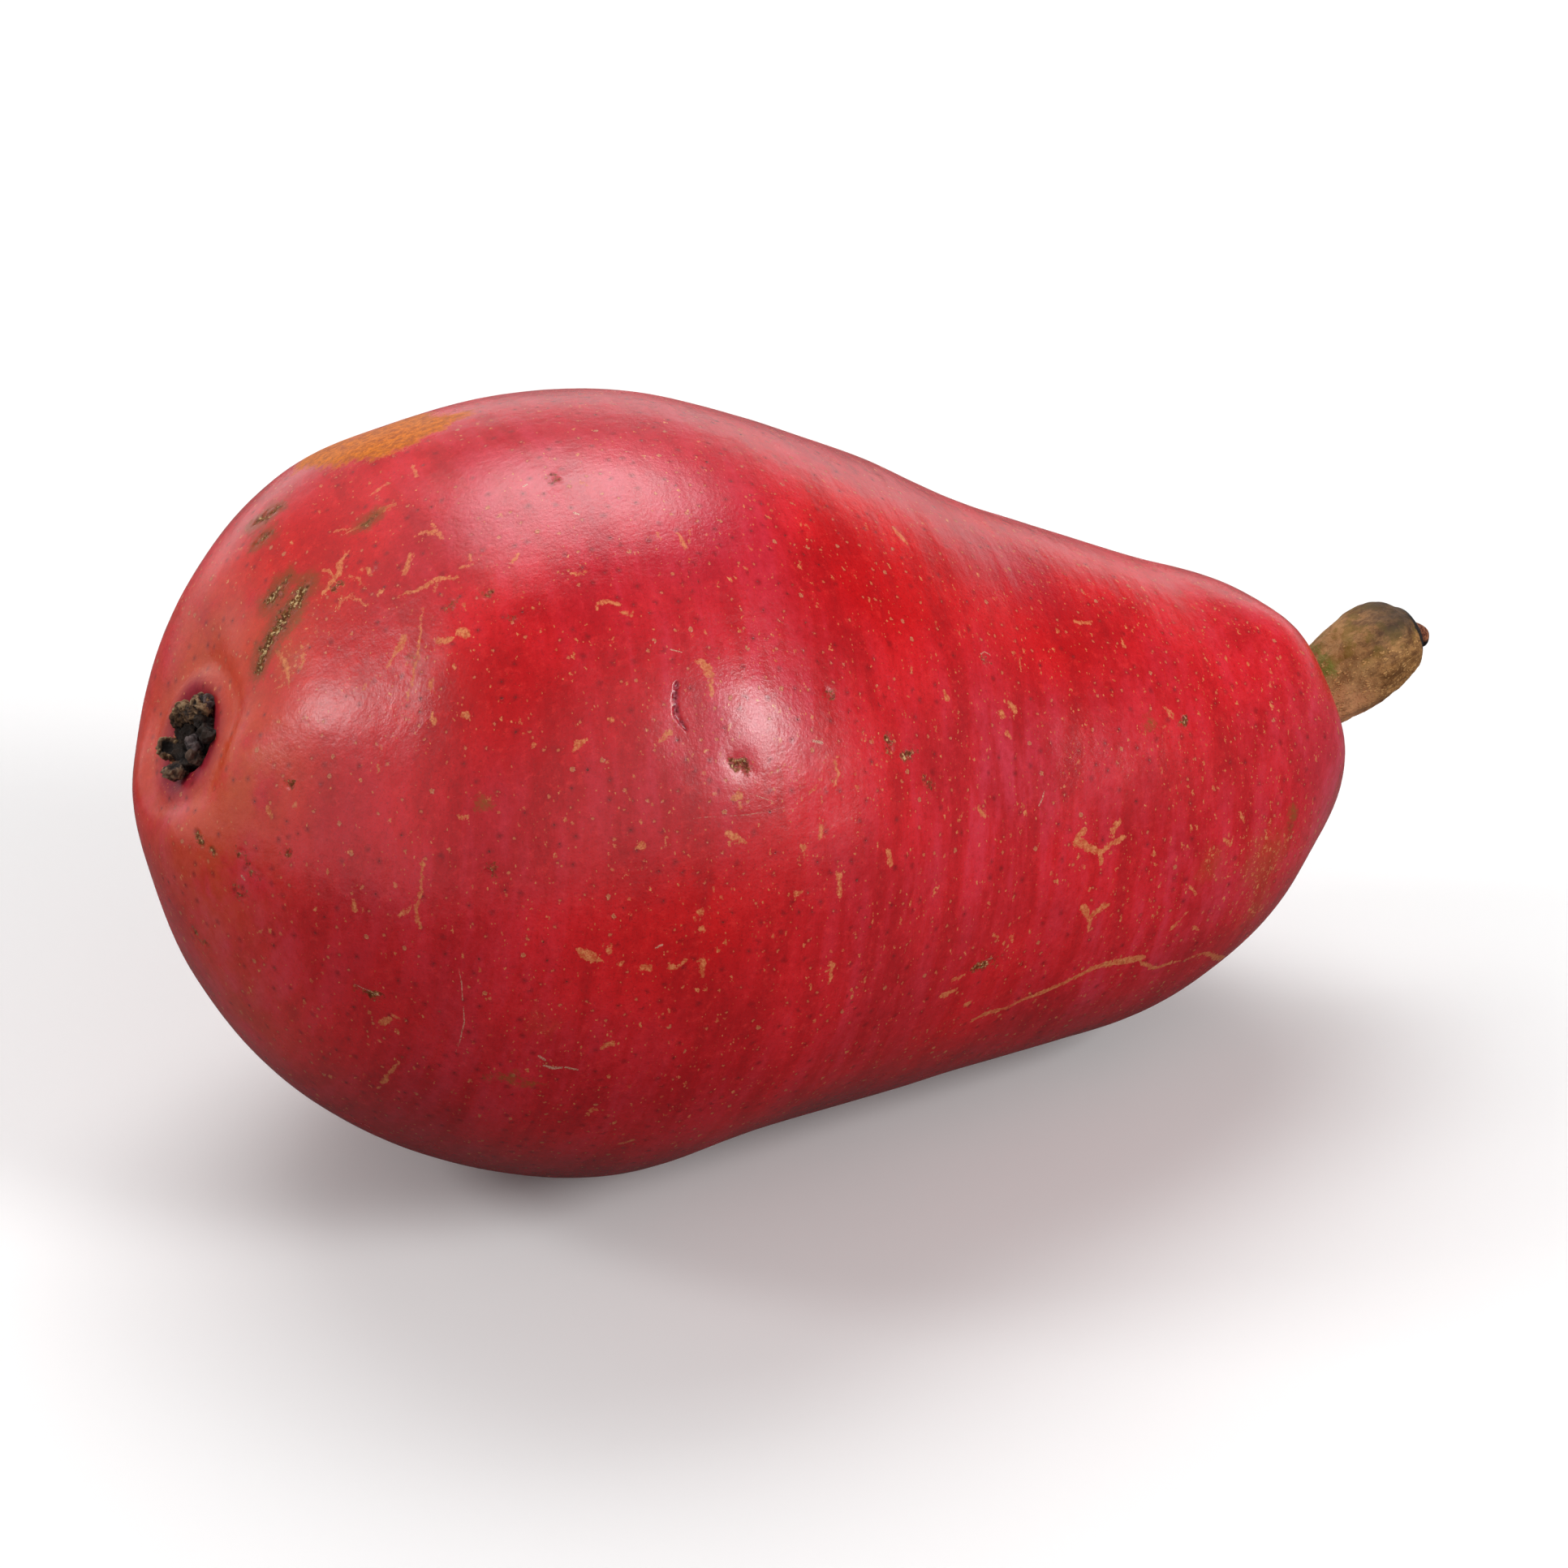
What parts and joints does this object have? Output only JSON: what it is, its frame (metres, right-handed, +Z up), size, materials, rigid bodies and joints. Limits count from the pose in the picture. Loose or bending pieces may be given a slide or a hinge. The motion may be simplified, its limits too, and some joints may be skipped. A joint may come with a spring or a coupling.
{
  "type": "red pear",
  "caption": "Whole ripe red pear lying on its side, with a short thick stem sunk in its neck and a dried calyx in the basin at its wide end.",
  "frame": {"origin": "on the surface that the pear lies on, under the middle of its bounding box", "axes": "+Z up; the pear's own line runs along +X, from the calyx to the stem, and dips about 12 degrees towards the neck; +Y completes the right-handed frame"},
  "size_m": [0.1202, 0.0684, 0.068],
  "materials": {
    "skin": "waxy red pear skin, satin, with tan russet flecks and scars",
    "stem_wood": "matte brown bark with tan specks",
    "dried_calyx": "dry, matte, dark brown"
  },
  "bodies": {
    "root": {"fruit": "skin", "stem": "stem_wood", "calyx": "dried_calyx"}
  },
  "joints": []
}
